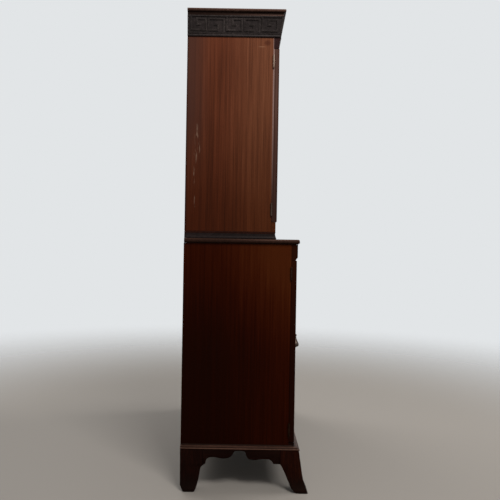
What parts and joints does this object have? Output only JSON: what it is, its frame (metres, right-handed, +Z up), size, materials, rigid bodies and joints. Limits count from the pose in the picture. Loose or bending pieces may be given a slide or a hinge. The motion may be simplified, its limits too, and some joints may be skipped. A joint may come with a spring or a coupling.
{
  "type": "glazed bookcase on a cupboard",
  "caption": "Tall mahogany bookcase: glazed doors over a deeper panelled cupboard on splayed feet, with a flared cornice and key fret.",
  "frame": {"origin": "on the floor under the middle of the whole piece, half way across its overall width and depth", "axes": "+Z up, the front with its doors faces -Y, the back plane is at +Y, and +X is to the right of someone facing the front"},
  "size_m": [1.053, 0.4585, 1.695],
  "materials": {
    "mahogany": "waxed, straight vertical grain, worn at the edges",
    "dark_mahogany": "dark stained and polished",
    "ebonised": "dark grey-brown stained, satin",
    "carcass_wood": "plain sawn, unpolished",
    "brass": "aged",
    "glass": "clear sheet"
  },
  "bodies": {
    "case": {"base_side_left": "mahogany", "base_side_right": "mahogany", "base_frieze_rail": "mahogany", "upper_side_left": "mahogany", "upper_side_right": "mahogany", "shelf_lower": "mahogany", "shelf_upper": "mahogany", "upper_sill": "mahogany", "base_bottom": "dark_mahogany", "base_top": "dark_mahogany", "base_moulding": "dark_mahogany", "foot_front_left": "dark_mahogany", "foot_front_right": "dark_mahogany", "foot_rear_left": "dark_mahogany", "foot_rear_right": "dark_mahogany", "apron_left": "dark_mahogany", "apron_right": "dark_mahogany", "apron_front": "dark_mahogany", "upper_fascia": "dark_mahogany", "cornice_cap": "dark_mahogany", "waist_moulding": "ebonised", "cornice_frieze": "ebonised", "cornice_fret_left": "ebonised", "cornice_fret_front": "ebonised", "cornice_fret_right": "ebonised", "base_shelf": "carcass_wood", "base_back": "carcass_wood", "upper_bottom": "carcass_wood", "upper_top": "carcass_wood", "upper_back": "carcass_wood", "base_door_left_hinge_bottom_fixed": "brass", "base_door_left_hinge_top_fixed": "brass", "glazed_door_left_hinge_bottom_fixed": "brass", "glazed_door_left_hinge_top_fixed": "brass", "base_door_right_hinge_bottom_fixed": "brass", "base_door_right_hinge_top_fixed": "brass", "glazed_door_right_hinge_bottom_fixed": "brass", "glazed_door_right_hinge_top_fixed": "brass"},
    "base_door_left": {"base_door_left_frame": "mahogany", "base_door_left_panel": "mahogany", "base_door_left_pull_rose": "brass", "base_door_left_hinge_bottom_moving": "brass", "base_door_left_hinge_top_moving": "brass"},
    "base_door_left_pull": {"base_door_left_pull_drop": "brass"},
    "glazed_door_left": {"glazed_door_left_frame": "mahogany", "glazed_door_left_bars": "mahogany", "glazed_door_left_glass": "glass", "glazed_door_left_hinge_bottom_moving": "brass", "glazed_door_left_hinge_top_moving": "brass"},
    "base_door_right": {"base_door_right_frame": "mahogany", "base_door_right_panel": "mahogany", "base_door_right_pull_rose": "brass", "base_door_right_hinge_bottom_moving": "brass", "base_door_right_hinge_top_moving": "brass"},
    "base_door_right_pull": {"base_door_right_pull_drop": "brass"},
    "glazed_door_right": {"glazed_door_right_frame": "mahogany", "glazed_door_right_bars": "mahogany", "glazed_door_right_glass": "glass", "glazed_door_right_hinge_bottom_moving": "brass", "glazed_door_right_hinge_top_moving": "brass"}
  },
  "joints": [
    {"name": "base_door_left_swing", "type": "hinge", "parent": "case", "child": "base_door_left", "pos_m": [-0.4837, -0.15875, 0.5], "axis": [0, 0, -1], "range_deg": [0, 175]},
    {"name": "base_door_left_pull_swing", "type": "hinge", "parent": "base_door_left", "child": "base_door_left_pull", "pos_m": [-0.0276, -0.21975, 0.472], "axis": [-1, 0, 0], "range_deg": [0, 80]},
    {"name": "glazed_door_left_swing", "type": "hinge", "parent": "case", "child": "glazed_door_left", "pos_m": [-0.4687, -0.08505, 1.2505], "axis": [0, 0, -1], "range_deg": [0, 175]},
    {"name": "base_door_right_swing", "type": "hinge", "parent": "case", "child": "base_door_right", "pos_m": [0.4837, -0.15875, 0.5], "axis": [0, 0, 1], "range_deg": [0, 175]},
    {"name": "base_door_right_pull_swing", "type": "hinge", "parent": "base_door_right", "child": "base_door_right_pull", "pos_m": [0.0276, -0.21975, 0.472], "axis": [-1, 0, 0], "range_deg": [0, 80]},
    {"name": "glazed_door_right_swing", "type": "hinge", "parent": "case", "child": "glazed_door_right", "pos_m": [0.4687, -0.08505, 1.2505], "axis": [0, 0, 1], "range_deg": [0, 175]}
  ]
}
